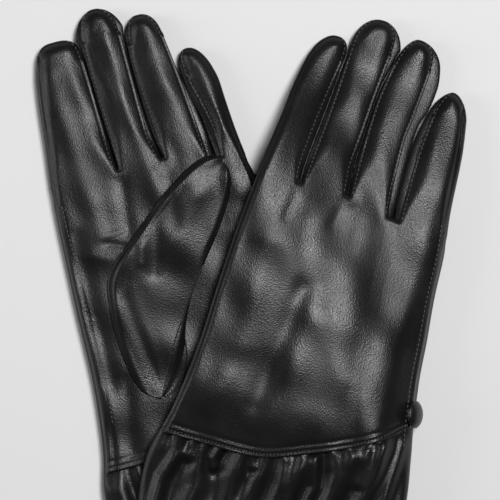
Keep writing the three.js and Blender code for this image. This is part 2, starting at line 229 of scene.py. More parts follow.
def outline_u(glove, finger, side, v):
    """The plan u of a finger's outline at v: its seam, then its rounded tip."""
    start = finger["round_from"]
    tip_u, tip_v = finger["tip"]
    t = np.clip((np.asarray(v, float) - start) / (tip_v - start), 0, 1)
    narrowed = (1 - t ** finger["power"]) ** (1 / finger["power"])
    return lerp(tip_u, side_edge(glove, finger, side, np.minimum(v, tip_v)), narrowed)


ROUND_AT = 0.7


def finger_edges(glove, finger, along):
    """Both edges of a finger from its root (0) to where its tip rounds (ROUND_AT) and its tip (1)."""
    straight = np.clip(along / ROUND_AT, 0, 1)
    turn = np.clip((along - ROUND_AT) / (1 - ROUND_AT), 0, 1) * math.pi / 2
    edges = []
    for side in (-1, 1):
        v = lerp(root_v(glove, finger, side), finger["round_from"], straight)
        rounded = lerp(finger["round_from"], finger["tip"][1], np.sin(turn) ** (2 / finger["power"]))
        v = np.where(along > ROUND_AT, rounded, v)
        edges.append((outline_u(glove, finger, side, v), v))
    return edges


def root_v(glove, finger, side):
    """Where a finger's edge crosses the line on which the fingers leave the hand."""
    v = 118.0
    for _ in range(6):
        v = float(curve_through(glove["roots"], side_edge(glove, finger, side, v)))
    return v


def outlines(glove):
    """The outer outline and the slots between the fingers, as lists of paths."""
    shaft = np.linspace(0, ROUND_AT, 40)
    tip = 1 - (1 - ROUND_AT) * (1 - np.linspace(0, 1, 70)) ** 1.4
    hand_v = np.linspace(-76, 130, 70)
    outer = [np.stack([curve_through(glove[side], hand_v), hand_v], -1)
             for side in ("index_side", "little_side")]
    slots, roots = [], {}
    for finger in glove["fingers"]:
        for side, key, (u, v) in zip((-1, 1), ("left", "right"), finger_edges(glove, finger, shaft)):
            roots[finger["name"], side] = (float(u[0]), float(v[0]))
            paths = slots if key in finger else outer
            paths.append(np.stack([u, v], -1))
        outer += [np.stack(edge, -1) for edge in finger_edges(glove, finger, tip)]
    for before, after in zip(glove["fingers"][:-1], glove["fingers"][1:]):
        slots.append(np.array([roots[before["name"], 1], roots[after["name"], -1]]))
    return outer, slots


for glove in (LEFT, RIGHT):
    glove["outer"], glove["slots"] = outlines(glove)


def nearest(paths, u, v):
    best = np.full(np.shape(u), 1e9)
    for path in paths:
        best = np.minimum(best, distance_to(path, u, v))
    return best


# ------------------------------------------------------------------ the surface of a glove

# Soft ridges (+) and hollows (-) of the leather as [u, v, u, v, width, height] in the glove's plan.
LEFT_RELIEF = [
    # the folds at the crotch of the thumb
    [-25, 93, -18, 90, 1.4, -0.6], [-27, 96.5, -16, 97, 1.6, 0.3], [-34, 90, -27, 86, 2.4, 0.4],
    # long soft ridges up the index finger and the palm
    [-30, 175, -27, 100, 5.0, 0.9], [-41, 30, -38, 100, 4.0, -0.7], [3, 108, 1, 185, 4.0, 0.4],
    [21, 104, 19, 175, 4.5, 0.5], [40, 100, 39, 160, 4.0, 0.4], [-14, 96, -11, 120, 3.5, -0.6],
    [8, 92, 10, 116, 3.5, -0.6], [30, 90, 33, 112, 4.0, -0.6],
    # the cushion of leather beside the side seam
    [-46, -4, -43, 60, 2.2, 0.5], [-40, -2, -34, 30, 3.0, -0.5],
]
RIGHT_RELIEF = [
    # creases that fan out below the crotches
    [-26, 100, -24.2, 114, 2.2, -0.18], [-30, 98, -27, 112, 3.4, 0.16], [-19, 100, -20, 112, 3.4, 0.12],
    [-4.5, 102, -1.8, 114, 2.2, -0.2], [3, 98, 3, 110, 3.8, 0.2], [-9, 101, -7, 111, 3.4, 0.12],
    [23, 98, 23, 108, 2.4, -0.2], [12, 96, 12, 108, 4.0, 0.15],
    # the long hollow up the middle, and the soft swellings of the knuckles on both sides of it
    [-17, 14, -10, 70, 5.5, -1.1], [-10, 70, -17, 100, 6.0, -0.7], [-29, 40, -31, 86, 7.0, 0.9],
    [-3, 24, 0, 56, 7.0, 0.5], [16, 60, 14, 92, 9.0, 0.7], [34, 40, 37, 70, 8.0, 0.7],
    [27, 6, 24, 30, 5.0, -0.5], [-38, 8, -34, 22, 6.0, 0.7], [4, 4, 2, 14, 6.0, 0.5],
]
# Slow waves all over the leather: turns per millimetre along u and v, and where each one starts.
LEATHER_WAVES = [(0.11, 0.05, 0.4), (0.07, 0.13, 1.9), (0.19, 0.02, 3.1), (0.03, 0.21, 5.0),
                 (0.16, 0.17, 2.2)]


def ridges_at(ridges, u, v):
    """The summed height of soft ridges and hollows."""
    total = np.zeros(np.shape(u))
    for u0, v0, u1, v1, width, height in ridges:
        total += height * np.exp(-(distance_to([(u0, v0), (u1, v1)], u, v) / width) ** 2)
    return total


def relief(glove, u, v):
    """The slow waves and folds of leather that has been worn and laid down."""
    total = ridges_at(LEFT_RELIEF if glove is LEFT else RIGHT_RELIEF, u, v)
    depth = 0.17 if glove is LEFT else 0.15
    for along_u, along_v, phase in LEATHER_WAVES:
        total += depth * np.sin(along_u * u * 1.4 + along_v * v * 1.2 + phase)
    return total


def thickness(glove, u, v):
    """Half the height of the flat glove: the hand is a little thicker than the fingers."""
    past_root = v - curve_through(glove["roots"], u)
    return HAND_HALF - (HAND_HALF - FINGER_HALF) * smoothstep(past_root, -15, 12)


def seam_groove(distance, depth=0.3):
    """A sunk stitch line with a soft roll of leather outside it."""
    groove = depth * np.exp(-((distance - SEAM_INSET) / 0.4) ** 2)
    return 0.3 * depth * np.exp(-((distance - 0.3) / 0.4) ** 2) - groove


def side_seam(glove, u, v):
    """The seam that runs up the visible face beside the outline: its distance inwards from it."""
    edge, inward = seam_edge(glove, v)
    return inward * (u - edge) - side_seam_inset(glove, v)


def seam_edge(glove, v):
    """The outline beside the side seam, and which way along u is inwards from it."""
    low, high = both_sides(glove, v)
    return (low, 1) if glove is LEFT else (high, -1)


def side_seam_inset(glove, v):
    low = 5.4 if glove is LEFT else 3.4
    return lerp(low, 2.5, smoothstep(v, 10, 150))


def rounded_side(distance, full, width):
    """The side of a flat glove: a narrow pressed rim at the fold, then a soft shoulder."""
    rim = np.sqrt(1 - (1 - np.clip(distance / RIM_WIDTH, 0, 1)) ** 2)
    shoulder = 1 - (1 - np.clip((distance - RIM_WIDTH) / (width - RIM_WIDTH), 0, 1)) ** 2.2
    return 0.25 + RIM_HEIGHT * rim + (full - 0.25 - RIM_HEIGHT) * shoulder


def surface(glove, u, v, edge_height, face):
    """Height of the leather above (face +1) or below (face -1) the glove's middle plane."""
    outer = nearest(glove["outer"], u, v)
    slot = nearest(glove["slots"], u, v)
    full = thickness(glove, u, v)
    past_root = v - curve_through(glove["roots"], u)
    bulge = rounded_side(outer, full, lerp(3.4, 6.5, smoothstep(past_root, -10, 25)))
    open_slot = smoothstep(past_root, -2, 13)
    shoulder = lerp(2.2, 8.6, smoothstep(past_root, -1, 26))
    edge = lerp(full - 0.9, edge_height, open_slot)
    crown = edge + (full - edge) * (1 - (1 - np.clip(slot / shoulder, 0, 1)) ** 2.2)
    height = np.minimum(bulge, crown + seam_groove(slot) * open_slot)
    if face > 0:
        inside = smoothstep(np.minimum(outer, slot), 0.5, 7)
        height = height + inside * relief(glove, u, v)
        seam = side_seam(glove, u, v)
        height = height - 0.75 * np.exp(-(seam / 0.5) ** 2) + 0.25 * np.exp(-((seam + 1.3) / 0.7) ** 2)
    else:
        height = np.minimum(height, HAND_HALF - 0.02 if glove is LEFT else full)
    return face * np.maximum(height, 0.12)


def surface_normals(glove, u, v, edge_height, face):
    """Outward normals of the surface, from its slopes."""
    step = 0.25
    ahead = [place(glove, u + du, v + dv, surface(glove, u + du, v + dv, edge_height, face))
             for du, dv in ((step, 0), (-step, 0), (0, step), (0, -step))]
    normal = np.cross(ahead[0] - ahead[1], ahead[2] - ahead[3])
    normal /= np.linalg.norm(normal, axis=-1, keepdims=True)
    return normal * face


# ------------------------------------------------------------------ meshes


def grid_normals(points):
    """Unit normals of a grid of points."""
    rows = np.gradient(points, axis=0)
    columns = np.gradient(points, axis=1)
    normal = np.cross(columns, rows)
    length = np.linalg.norm(normal, axis=-1, keepdims=True)
    return normal / np.maximum(length, 1e-12)


def new_object(name, vertices, faces):
    mesh = bpy.data.meshes.new(name)
    mesh.from_pydata([tuple(p) for p in vertices], [], faces)
    mesh.polygons.foreach_set("use_smooth", [True] * len(mesh.polygons))
    mesh.update()
    piece = bpy.data.objects.new(name, mesh)
    bpy.context.scene.collection.objects.link(piece)
    return piece


def ring_of(rows, columns):
    """Grid indices round the edge of a grid, in order."""
    edge = [(0, j) for j in range(columns)]
    edge += [(i, columns - 1) for i in range(1, rows)]
    edge += [(rows - 1, j) for j in range(columns - 2, -1, -1)]
    edge += [(i, 0) for i in range(rows - 2, 0, -1)]
    return edge


def shell(name, outer, outward, wall=LEATHER, first_normals=None, last_normals=None):
    """A closed sheet of leather: an outer grid of points, an inner one a wall's thickness below it,
    and a rounded rim. outward is a rough direction that the outer face looks along."""
    rows, columns = outer.shape[:2]
    normal = grid_normals(outer)
    flip = np.mean(normal @ np.asarray(outward, float)) < 0
    if flip:
        normal = -normal
    inner = outer - normal * wall * MM
    edge = ring_of(rows, columns)
    rim = []
    for i, j in edge:
        inside = outer[min(max(i, 1), rows - 2), min(max(j, 1), columns - 2)]
        away = outer[i, j] - inside
        away -= normal[i, j] * (away @ normal[i, j])
        length = np.linalg.norm(away)
        away = away / length if length > 1e-9 else away
        rim.append((outer[i, j] + inner[i, j]) / 2 + away * wall * 0.3 * MM)
    count = rows * columns
    vertices = np.concatenate([outer.reshape(-1, 3), inner.reshape(-1, 3), np.array(rim)])
    faces = []
    for i in range(rows - 1):
        for j in range(columns - 1):
            a = i * columns + j
            quad = (a, a + 1, a + columns + 1, a + columns)
            faces.append(quad)
            faces.append(tuple(k + count for k in quad[::-1]))
    for k, (i, j) in enumerate(edge):
        following = (k + 1) % len(edge)
        i2, j2 = edge[following]
        a, b = i * columns + j, i2 * columns + j2
        middle, next_middle = 2 * count + k, 2 * count + following
        faces.append((b, a, middle, next_middle))
        faces.append((next_middle, middle, a + count, b + count))
    if flip:
        faces = [face[::-1] for face in faces]
    piece = new_object(name, vertices, faces)
    soften(piece, columns, rows, first_normals, last_normals)
    return piece


def soften(piece, columns, rows, first_normals, last_normals):
    """Gives the first and last rows the normals of the whole glove, so that neighbours meet smoothly."""
    if first_normals is None and last_normals is None:
        return
    mesh = piece.data
    normals = np.array([v.normal for v in mesh.vertices])
    if first_normals is not None:
        normals[:columns] = first_normals
    if last_normals is not None:
        start = (rows - 1) * columns
        normals[start:start + columns] = last_normals
    mesh.normals_split_custom_set_from_vertices(normals.tolist())


def join(name, pieces):
    """Makes one object out of several meshes."""
    vertices, faces, base = [], [], 0
    for points, quads in pieces:
        vertices.append(points)
        faces += [tuple(k + base for k in quad) for quad in quads]
        base += len(points)
    return new_object(name, np.concatenate(vertices), faces)


def ring_faces(rings, sides):
    """Faces of a closed shape: a point at each end, and rings of points between them."""
    faces = []
    last = 1 + rings * sides
    top = last - sides
    for s in range(sides):
        n = (s + 1) % sides
        faces.append((0, 1 + n, 1 + s))
        for a in range(1, top, sides):
            faces.append((a + s, a + n, a + sides + n, a + sides + s))
        faces.append((top + s, top + n, last))
    return faces


def stitch_mesh(centre, along, up, length, width):
    """One stitch: a short rounded bar of thread."""
    across = np.cross(up, along)
    sides, rings = 8, 4
    points = [centre - along * length / 2]
    for r in range(1, rings + 1):
        angle = math.pi * r / (rings + 1)
        for s in range(sides):
            around = 2 * math.pi * s / sides
            swell = math.sin(angle) ** 0.6
            points.append(centre - along * length / 2 * math.cos(angle)
                          + swell * width / 2 * (across * math.cos(around) + 0.8 * up * math.sin(around)))
    points.append(centre + along * length / 2)
    return np.array(points), ring_faces(rings, sides)


def stitch_row(name, path, up, pitch=STITCH_PITCH, length=1.4, width=0.5, sink=0.05, overcast=False):
    """A row of stitches on the leather, along a path or, for overcasting, across it. up holds the
    surface normals along the path."""
    steps = np.linalg.norm(np.diff(path, axis=0), axis=1)
    travel = np.concatenate([[0], np.cumsum(steps)])
    count = max(2, int(travel[-1] / (pitch * MM)))
    at = (np.arange(count) + 0.5) / count * travel[-1]
    centre = np.stack([np.interp(at, travel, path[:, k]) for k in range(3)], -1)
    upward = np.stack([np.interp(at, travel, up[:, k]) for k in range(3)], -1)
    ahead = np.stack([np.interp(at + 0.3 * MM, travel, path[:, k]) for k in range(3)], -1)
    behind = np.stack([np.interp(at - 0.3 * MM, travel, path[:, k]) for k in range(3)], -1)
    pieces = []
    for c, u, d in zip(centre, upward, ahead - behind):
        d = d / max(np.linalg.norm(d), 1e-12)
        u = u - d * (u @ d)
        u = u / max(np.linalg.norm(u), 1e-12)
        if overcast:
            d = np.cross(u, d) * math.cos(0.35) + d * math.sin(0.35)
        pieces.append(stitch_mesh(c - u * sink * MM, d, u, length * MM, width * MM))
    return join(name, pieces)


# ------------------------------------------------------------------ materials


def node_material(name):
    material = bpy.data.materials.new(name)
    material.use_nodes = True
    nodes = material.node_tree.nodes
    shader = nodes["Principled BSDF"]
    return material, nodes, material.node_tree.links, shader


def texture(nodes, links, kind, scale, **sockets):
    """A texture in the piece's own coordinates."""
    place_at = nodes.new("ShaderNodeTexCoord")
    node = nodes.new("ShaderNodeTex" + kind)
    node.inputs["Scale"].default_value = scale
    for socket, value in sockets.items():
        node.inputs[socket].default_value = value
    links.new(place_at.outputs["Object"], node.inputs["Vector"])
    return node


def times_plus(nodes, links, value, factor, addend):
    """The output of value x factor + addend."""
    node = nodes.new("ShaderNodeMath")
    node.operation = "MULTIPLY_ADD"
    node.inputs[1].default_value = factor
    links.new(value, node.inputs[0])
    links.new(addend, node.inputs[2])
    return node.outputs[0]


def add_bump(nodes, links, shader, height, strength, distance):
    bump = nodes.new("ShaderNodeBump")
    bump.inputs["Strength"].default_value = strength
    bump.inputs["Distance"].default_value = distance
    links.new(height, bump.inputs["Height"])
    links.new(bump.outputs["Normal"], shader.inputs["Normal"])


def add_colours(nodes, links, shader, value, dark, light):
    """Colours the surface from dark to light by a texture's value."""
    ramp = nodes.new("ShaderNodeValToRGB")
    ramp.color_ramp.elements[0].color = (*dark, 1)
    ramp.color_ramp.elements[1].color = (*light, 1)
    links.new(value, ramp.inputs["Fac"])
    links.new(ramp.outputs["Color"], shader.inputs["Base Color"])


def add_roughness(nodes, links, shader, value, low, high, start=0.0, end=1.0):
    """Varies the roughness from low to high while a texture's value goes from start to end."""
    shine = nodes.new("ShaderNodeMapRange")
    shine.inputs["From Min"].default_value = start
    shine.inputs["From Max"].default_value = end
    shine.inputs["To Min"].default_value = low
    shine.inputs["To Max"].default_value = high
    links.new(value, shine.inputs["Value"])
    links.new(shine.outputs["Result"], shader.inputs["Roughness"])


def leather_material(name, roughness, grain, coat):
    """Black nappa: a fine pebble grain, soft creases, and a sheen that varies with handling."""
    material, nodes, links, shader = node_material(name)
    warp = texture(nodes, links, "Noise", 1500, Detail=2)
    pebble = texture(nodes, links, "Voronoi", 1700)
    pebble.feature = "SMOOTH_F1"
    pebble.inputs["Smoothness"].default_value = 0.6
    fine = texture(nodes, links, "Noise", 2600, Detail=2)
    pebbles = times_plus(nodes, links, pebble.outputs["Distance"], 1.6, warp.outputs["Fac"])
    height = times_plus(nodes, links, fine.outputs["Fac"], 0.35, pebbles)
    add_bump(nodes, links, shader, height, grain, 0.0001)
    patches = texture(nodes, links, "Noise", 55, Detail=5).outputs["Fac"]
    add_roughness(nodes, links, shader, patches, roughness - 0.05, roughness + 0.07, 0.3, 0.7)
    add_colours(nodes, links, shader, patches, (0.004, 0.004, 0.0042), (0.009, 0.009, 0.0095))
    shader.inputs["Specular IOR Level"].default_value = 0.36
    shader.inputs["Coat Weight"].default_value = coat
    shader.inputs["Coat Roughness"].default_value = 0.3
    return material


def cloth_material(name):
    """Fine black knit for the lining."""
    material, nodes, links, shader = node_material(name)
    rib = texture(nodes, links, "Wave", 420, Distortion=1.5).outputs["Fac"]
    add_bump(nodes, links, shader, rib, 0.5, 0.0002)
    add_colours(nodes, links, shader, rib, (0.012, 0.012, 0.013), (0.035, 0.034, 0.037))
    shader.inputs["Roughness"].default_value = 0.85
    shader.inputs["Sheen Weight"].default_value = 0.3
    return material


def thread_material(name):
    """Black polyester thread with a slight twist."""
    material, nodes, links, shader = node_material(name)
    twist = texture(nodes, links, "Wave", 1500).outputs["Fac"]
    add_colours(nodes, links, shader, twist, (0.02, 0.02, 0.021), (0.13, 0.13, 0.132))
    shader.inputs["Roughness"].default_value = 0.5
    return material


def metal_material(name):
    """The stamped steel back of a covered button."""
    material, nodes, links, shader = node_material(name)
    scratches = texture(nodes, links, "Noise", 900).outputs["Fac"]
    add_roughness(nodes, links, shader, scratches, 0.25, 0.5)
    shader.inputs["Base Color"].default_value = (0.42, 0.42, 0.43, 1)
    shader.inputs["Metallic"].default_value = 1
    return material


MATERIALS = {
    "leather": leather_material("leather", 0.33, 0.5, 0.0),
    "binding_leather": leather_material("binding_leather", 0.46, 0.3, 0.0),
    "button_leather": leather_material("button_leather", 0.3, 0.4, 0.2),
    "lining": cloth_material("lining"),
    "thread": thread_material("thread"),
    "button_metal": metal_material("button_metal"),
}


def finish_piece(piece, slot, replaced=()):
    piece.data.materials.clear()
    piece.data.materials.append(MATERIALS[slot])
    if replaced:
        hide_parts(*replaced)
    return piece


# ------------------------------------------------------------------ fingers

UP = np.array([0.0, 0.0, 1.0])


def spread(count):
    """Values from -1 to 1 that crowd towards both ends."""
    return np.sin(np.linspace(-math.pi / 2, math.pi / 2, count))


FINGER_COLUMNS = 31


def edge_height_at(along):
    """Height of the leather's edge over the side wall: it sinks towards the fingertip."""
    return lerp(WALL_HALF + LEATHER, 0.5, smoothstep(along, 0.72, 0.97))


def finger_plan(glove, finger, rows):
    """Plan points of a finger's face, from its root to its tip."""
    along = np.linspace(0, 0.985, rows)
    (left_u, left_v), (right_u, right_v) = finger_edges(glove, finger, along)
    across = (spread(FINGER_COLUMNS)[None, :] + 1) / 2
    u = lerp(left_u[:, None], right_u[:, None], across)
    v = lerp(left_v[:, None], right_v[:, None], across)
    return u, v, np.repeat(edge_height_at(along)[:, None], FINGER_COLUMNS, axis=1)


def knuckle(glove, finger_name):
    """The line along which a finger's leather bends between the hand and the finger."""
    finger = next(f for f in glove["fingers"] if f["name"] == finger_name)
    start_v = max(root_v(glove, finger, -1), root_v(glove, finger, 1)) + 0.3
    middle_u = (side_edge(glove, finger, -1, start_v) + side_edge(glove, finger, 1, start_v)) / 2
    start = place(glove, middle_u, start_v, 0.0)
    end = place(glove, middle_u, start_v + 17, 0.0)
    end[2] = start[2]
    return start, end


def bend_with(piece, glove, finger_name):
    start, end = knuckle(glove, finger_name)
    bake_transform(piece)


def face_name(glove, face):
    """The face +1 looks up: the palm of the left glove and the back of the right one."""
    palm = (face > 0) == glove["palm_up"]
    return "palm" if palm else "back"


def make_finger_face(glove, finger, face):
    u, v, edge_height = finger_plan(glove, finger, 86)
    points = place(glove, u, v, surface(glove, u, v, edge_height, face))
    normals = surface_normals(glove, u[0], v[0], edge_height[0], face)
    name = f"{glove['name']}_{finger['name']}_{face_name(glove, face)}"
    piece = shell(f"{name}_leather", points, UP * face, first_normals=normals)
    finish_piece(piece, "leather", [name])
    bend_with(piece, glove, finger["name"])


def wall_bulge(glove, finger, side, v):
    """How far a side wall stands out: up to its neighbour's wall, or freely beyond the neighbour."""
    fingers = glove["fingers"]
    other = fingers[fingers.index(finger) + side]
    tip_v, other_v = finger["tip"][1], other["tip"][1]
    gap = (outline_u(glove, other, -side, v) - outline_u(glove, finger, side, v)) * side
    gap = np.where(v > other_v, 12.0, np.clip(gap, 0, 12))
    k = 0 if side < 0 else 1
    end = min(finger["round_from"], other_v)
    near_tip = smoothstep(v, end - 20, end - 5)
    share = lerp(0.5, finger["share"][k], near_tip)
    fade_from = finger["round_from"] - 9
    fade = 1 - np.clip((v - fade_from) / (tip_v - fade_from), 0, 1) ** 1.6
    free = lerp(4.6, finger["reach"][k] * fade, near_tip)
    return np.maximum(np.minimum(share * gap - 0.06, free), 0.0)


def make_wall(glove, finger, side):
    """A fourchette: the narrow side wall that joins a finger's two faces."""
    rows, columns = 90, 15
    along = np.linspace(0, 0.955, rows)
    edges = finger_edges(glove, finger, along)
    u, v = edges[0] if side < 0 else edges[1]
    half = np.maximum(edge_height_at(along) - LEATHER * 0.8, 0.25)
    bulge = wall_bulge(glove, finger, side, v)
    rise = spread(columns)[None, :]
    out = side * (bulge[:, None] * (1 - rise ** 4) - 0.45 * rise ** 4 - 0.1)
    closed = 1 - smoothstep(v - curve_through(glove["roots"], u), -2, 13)
    half = lerp(half, thickness(glove, u, v) - 0.9 - LEATHER * 0.8, closed)
    height = half[:, None] * rise
    points = place(glove, u[:, None] + out, np.repeat(v[:, None], columns, 1), height)
    angle = math.radians(glove["turn"])
    outward = np.array([math.cos(angle), math.sin(angle), 0]) * side
    where = "outer" if side > 0 else "inner"
    name = f"{glove['name']}_{finger['name']}_fourchette_{where}"
    piece = shell(f"{name}_leather", points, outward, WALL_LEATHER)
    finish_piece(piece, "leather", [name])
    bend_with(piece, glove, finger["name"])


def make_crotch(glove, before, after):
    """The short piece of side wall that goes round between two fingers."""
    start_v, end_v = root_v(glove, before, 1), root_v(glove, after, -1)
    start_u, end_u = side_edge(glove, before, 1, start_v), side_edge(glove, after, -1, end_v)
    across = np.linspace(-0.12, 1.12, 15)[None, :]
    rise = np.linspace(-1, 1, 9)[:, None]
    u = lerp(start_u, end_u, across) + 0 * rise
    v = lerp(start_v, end_v, across) + 0 * rise
    v = v + 0.9 * (1 - rise ** 4) - 0.5
    points = place(glove, u, v, (HAND_HALF - 1.8) * rise + 0 * u)
    angle = math.radians(glove["turn"])
    towards_tips = [-math.sin(angle), math.cos(angle), 0]
    piece = shell(f"{glove['name']}_crotch_{after['name']}", points, towards_tips, WALL_LEATHER)
    finish_piece(piece, "leather")
    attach(piece, f"{glove['name']}_hand")


def sew(glove, name, u, v, edge_height, raised=0.0, **style):
    """A row of stitches on the glove's upper face, through plan points."""
    path = place(glove, u, v, surface(glove, u, v, edge_height, 1) + raised)
    up = surface_normals(glove, u, v, edge_height, 1)
    row = stitch_row(f"{glove['name']}_{name}", path, up, **style)
    return finish_piece(row, "thread")


def make_finger_stitches(glove, finger):
    """Stitch rows along both edges of the finger's upper face."""
    along = np.linspace(0.01, 0.93, 120)
    for side, (u, v) in zip((-1, 1), finger_edges(glove, finger, along)):
        if ("left" if side < 0 else "right") not in finger:
            continue
        u = u - side * SEAM_INSET
        where = "outer" if side > 0 else "inner"
        row = sew(glove, f"{finger['name']}_stitches_{where}", u, v, edge_height_at(along))
        bend_with(row, glove, finger["name"])


def make_fingers(glove):
    for finger in glove["fingers"]:
        for face in (1, -1):
            make_finger_face(glove, finger, face)
        for side, key in ((-1, "left"), (1, "right")):
            if key in finger:
                make_wall(glove, finger, side)
        make_finger_stitches(glove, finger)
    for before, after in zip(glove["fingers"][:-1], glove["fingers"][1:]):
        make_crotch(glove, before, after)


# ------------------------------------------------------------------ hand and cuff


def hem_at(u):
    return curve_through(HEM, u)


def hand_plan(glove, rows):
    """Plan points of the hand's face, whose last row meets the first rows of the fingers."""
    last_u, last_v = [], []
    for finger in glove["fingers"]:
        u, v, _ = finger_plan(glove, finger, 4)
        last_u.append(u[0])
        last_v.append(v[0])
    last_u, last_v = np.concatenate(last_u), np.concatenate(last_v)
    across = (last_u - last_u[0]) / (last_u[-1] - last_u[0])
    along = np.linspace(0, 1, rows)[:, None]
    v = lerp(-5.0, 120.0, along) + 0 * across[None, :]
    for _ in range(5):
        low, high = both_sides(glove, v)
        u = lerp(low, high, across[None, :])
        v = lerp(hem_at(u), last_v[None, :], along)
    u = lerp(u, last_u[None, :], smoothstep(along, 0.9, 1.0))
    return u, v


def hem_fold(glove, u, v):
    """The hand's edge is turned under at the hem: it sinks at the stitch line and rolls over."""
    past = v - hem_at(u)
    ridge = 0.35 * np.exp(-((past - 0.5) / 0.6) ** 2) + 0.25 * np.exp(-((past - 3.0) / 0.8) ** 2)
    return ridge - 0.35 * np.exp(-((past - 1.7) / 0.6) ** 2) - 0.3 * np.exp(-((past - 4.6) / 0.9) ** 2)


def make_hand_face(glove, face):
    u, v = hand_plan(glove, 150)
    edge_height = WALL_HALF + LEATHER
    height = surface(glove, u, v, edge_height, face)
    inside = smoothstep(nearest(glove["outer"], u, v), 0.5, 4)
    height = height + face * inside * hem_fold(glove, u, v)
    points = place(glove, u, v, height)
    normals = surface_normals(glove, u[-1], v[-1], edge_height, face)
    name = f"{glove['name']}_hand_{face_name(glove, face)}"
    piece = shell(f"{name}_leather", points, UP * face, last_normals=normals)
    finish_piece(piece, "leather", [name])
    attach(piece, f"{glove['name']}_hand")


# Pleats of the right cuff's upper face: points [u, v] down each fold, its width and its height.
RIGHT_PLEATS = [
    [[-46, -8], [-45, -16], [-50, -30], [-50, -46], 2.6, 1.7], [[-40, -10], [-41, -17], 2.0, 1.3],
    [[-33, -9], [-36, -17], [-34, -30], [-38, -48], 3.4, 1.3], [[-27, -9], [-29, -15], [-28, -19], 1.8, 1.6],
    [[-16, -10], [-18, -22], [-17, -40], 3.4, 1.5], [[-12, -9], [-11, -14], 1.6, 1.2],
    [[-6, -9], [-8, -24], [-13, -44], 3.0, 1.3], [[3, -8], [3, -20], [0, -42], 2.4, 1.2],
    [[12, -6], [8, -18], [7, -40], 3.6, 1.5], [[16, -3], [19, -16], [16, -34], [18, -50], 2.2, 1.9],
    [[24, 0], [26, -8], [24, -26], 2.6, 1.0], [[32, 2], [31, -9], [26, -28], [27, -48], 3.6, 1.8],
    [[38, 6], [39, -2], [38, -9], 2.2, 1.2], [[45, 10], [44, -3], [38, -26], [38, -46], 3.0, 1.6],
    [[54, 14], [52, -6], [50, -34], 2.4, 1.2],
]
PLEAT_WIDTH = 1.15
PLEAT_HEIGHT = 1.15
# Puckers under the hem: the width of one, its height, and how far down the cuff it fades.
HEM_PUCKERS = [(6.1, 0.26, 3.0), (9.7, 0.4, 6.0)]


def gathers(glove, u, v, face):
    """The folds of the gathered cuff: narrow puckers at the hem, and long soft pleats below it."""
    below = np.clip(hem_at(u) - v, 0, None)
    swing = 2.2 * np.sin(v * 0.09 + u * 0.03) + (0 if face > 0 else 9.0)
    total = np.full(np.shape(u), -0.5)
    for width, height, length in HEM_PUCKERS:
        ridge = np.cos((u + swing + 0.8 * np.sin(u * 0.37 + width)) * 2 * math.pi / width)
        total += height * ridge * np.exp(-below / length)
    waves = np.sin(u * 0.33 + 1.1 * np.sin(u * 0.09 + v * 0.03) + 0.025 * v)
    if glove is LEFT or face < 0:
        total += 1.0 * waves * smoothstep(below, 1, 10) + 0.5 * np.sin(u * 0.71 + 0.05 * v)
        return total
    total += 0.3 * waves * smoothstep(below, 6, 30)
    for *path, width, height in RIGHT_PLEATS:
        away = distance_to(path, u, v)
        width = PLEAT_WIDTH * width
        fold = np.exp(-(away / width) ** 2) - 0.45 * np.exp(-((away - 1.7 * width) / width) ** 2)
        total += PLEAT_HEIGHT * height * fold
    return total


def cuff_height(glove, u, v, face):
    outer = nearest(glove["outer"], u, v)
    below = hem_at(u) - v
    full = HAND_HALF - 1.3 + 1.0 * smoothstep(below, 0, 9)
    edge = np.sqrt(1 - (1 - np.clip(outer / 7.0, 0, 1)) ** 2)
    soft = smoothstep(outer, 0.3, 7)
    folds = soft * gathers(glove, u, v, face) * (1 if face > 0 else 0.35)
    height = 0.25 + (full - 0.25) * edge + folds
    return height if face > 0 else -np.minimum(height, HAND_HALF - 0.05)


def cuff_plan(glove, rows, columns, tuck=2.2):
    across = (spread(columns)[None, :] * 0.35 + np.linspace(-1, 1, columns)[None, :] * 0.65 + 1) / 2
    along = np.linspace(0, 1, rows)[:, None]
    v = lerp(0.0, CUFF_END, along) + 0 * across
    for _ in range(5):
        low, high = both_sides(glove, v)
        u = lerp(low, high, across)
        v = lerp(hem_at(u) + tuck, CUFF_END + 1.0, along)
    return u, v


def make_cuff_face(glove, face):
    u, v = cuff_plan(glove, 110, 260)
    points = place(glove, u, v, cuff_height(glove, u, v, face))
    name = f"{glove['name']}_cuff_{face_name(glove, face)}"
    piece = shell(f"{name}_leather", points, UP * face)
    finish_piece(piece, "leather", [name])
    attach(piece, f"{glove['name']}_hand")


# The linings' share of the glove's width, and how far the hand's lining lies under the leather.
LINING_WIDTH = 0.955
LINING_INSET = 3.2


def drawn_in(u):
    """The plan u of a lining, which is a little narrower than its leather."""
    centre = (u[:, :1] + u[:, -1:]) / 2
    return centre + (u - centre) * LINING_WIDTH


def make_lining(glove, face, part, u, v, height):
    """One cloth skin inside a leather part, at its height above or below the middle plane."""
    name = f"{glove['name']}_{part}_{face_name(glove, face)}"
    points = place(glove, u, v, face * np.maximum(height, 0.2))
    cloth = shell(f"{name}_cloth", points, UP * face, LINING)
    finish_piece(cloth, "lining", [name])
    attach(cloth, f"{glove['name']}_hand")


def make_linings(glove):
    """The cloth inside the hand and the cuff."""
    for face in (1, -1):
        u, v = cuff_plan(glove, 40, 90, tuck=0.0)
        u = drawn_in(u)
        height = np.minimum(np.abs(cuff_height(glove, u, v, face)), HAND_HALF - 1.2) - 1.6
        make_lining(glove, face, "cuff_lining", u, v, height)
        u, v = hand_plan(glove, 50)
        u = drawn_in(u)
        v = hem_at(u) + 0.5 + (v - hem_at(u)) * 0.96
        height = np.abs(surface(glove, u, v, WALL_HALF + LEATHER, -1)) - LINING_INSET
        make_lining(glove, face, "lining", u, v, height)


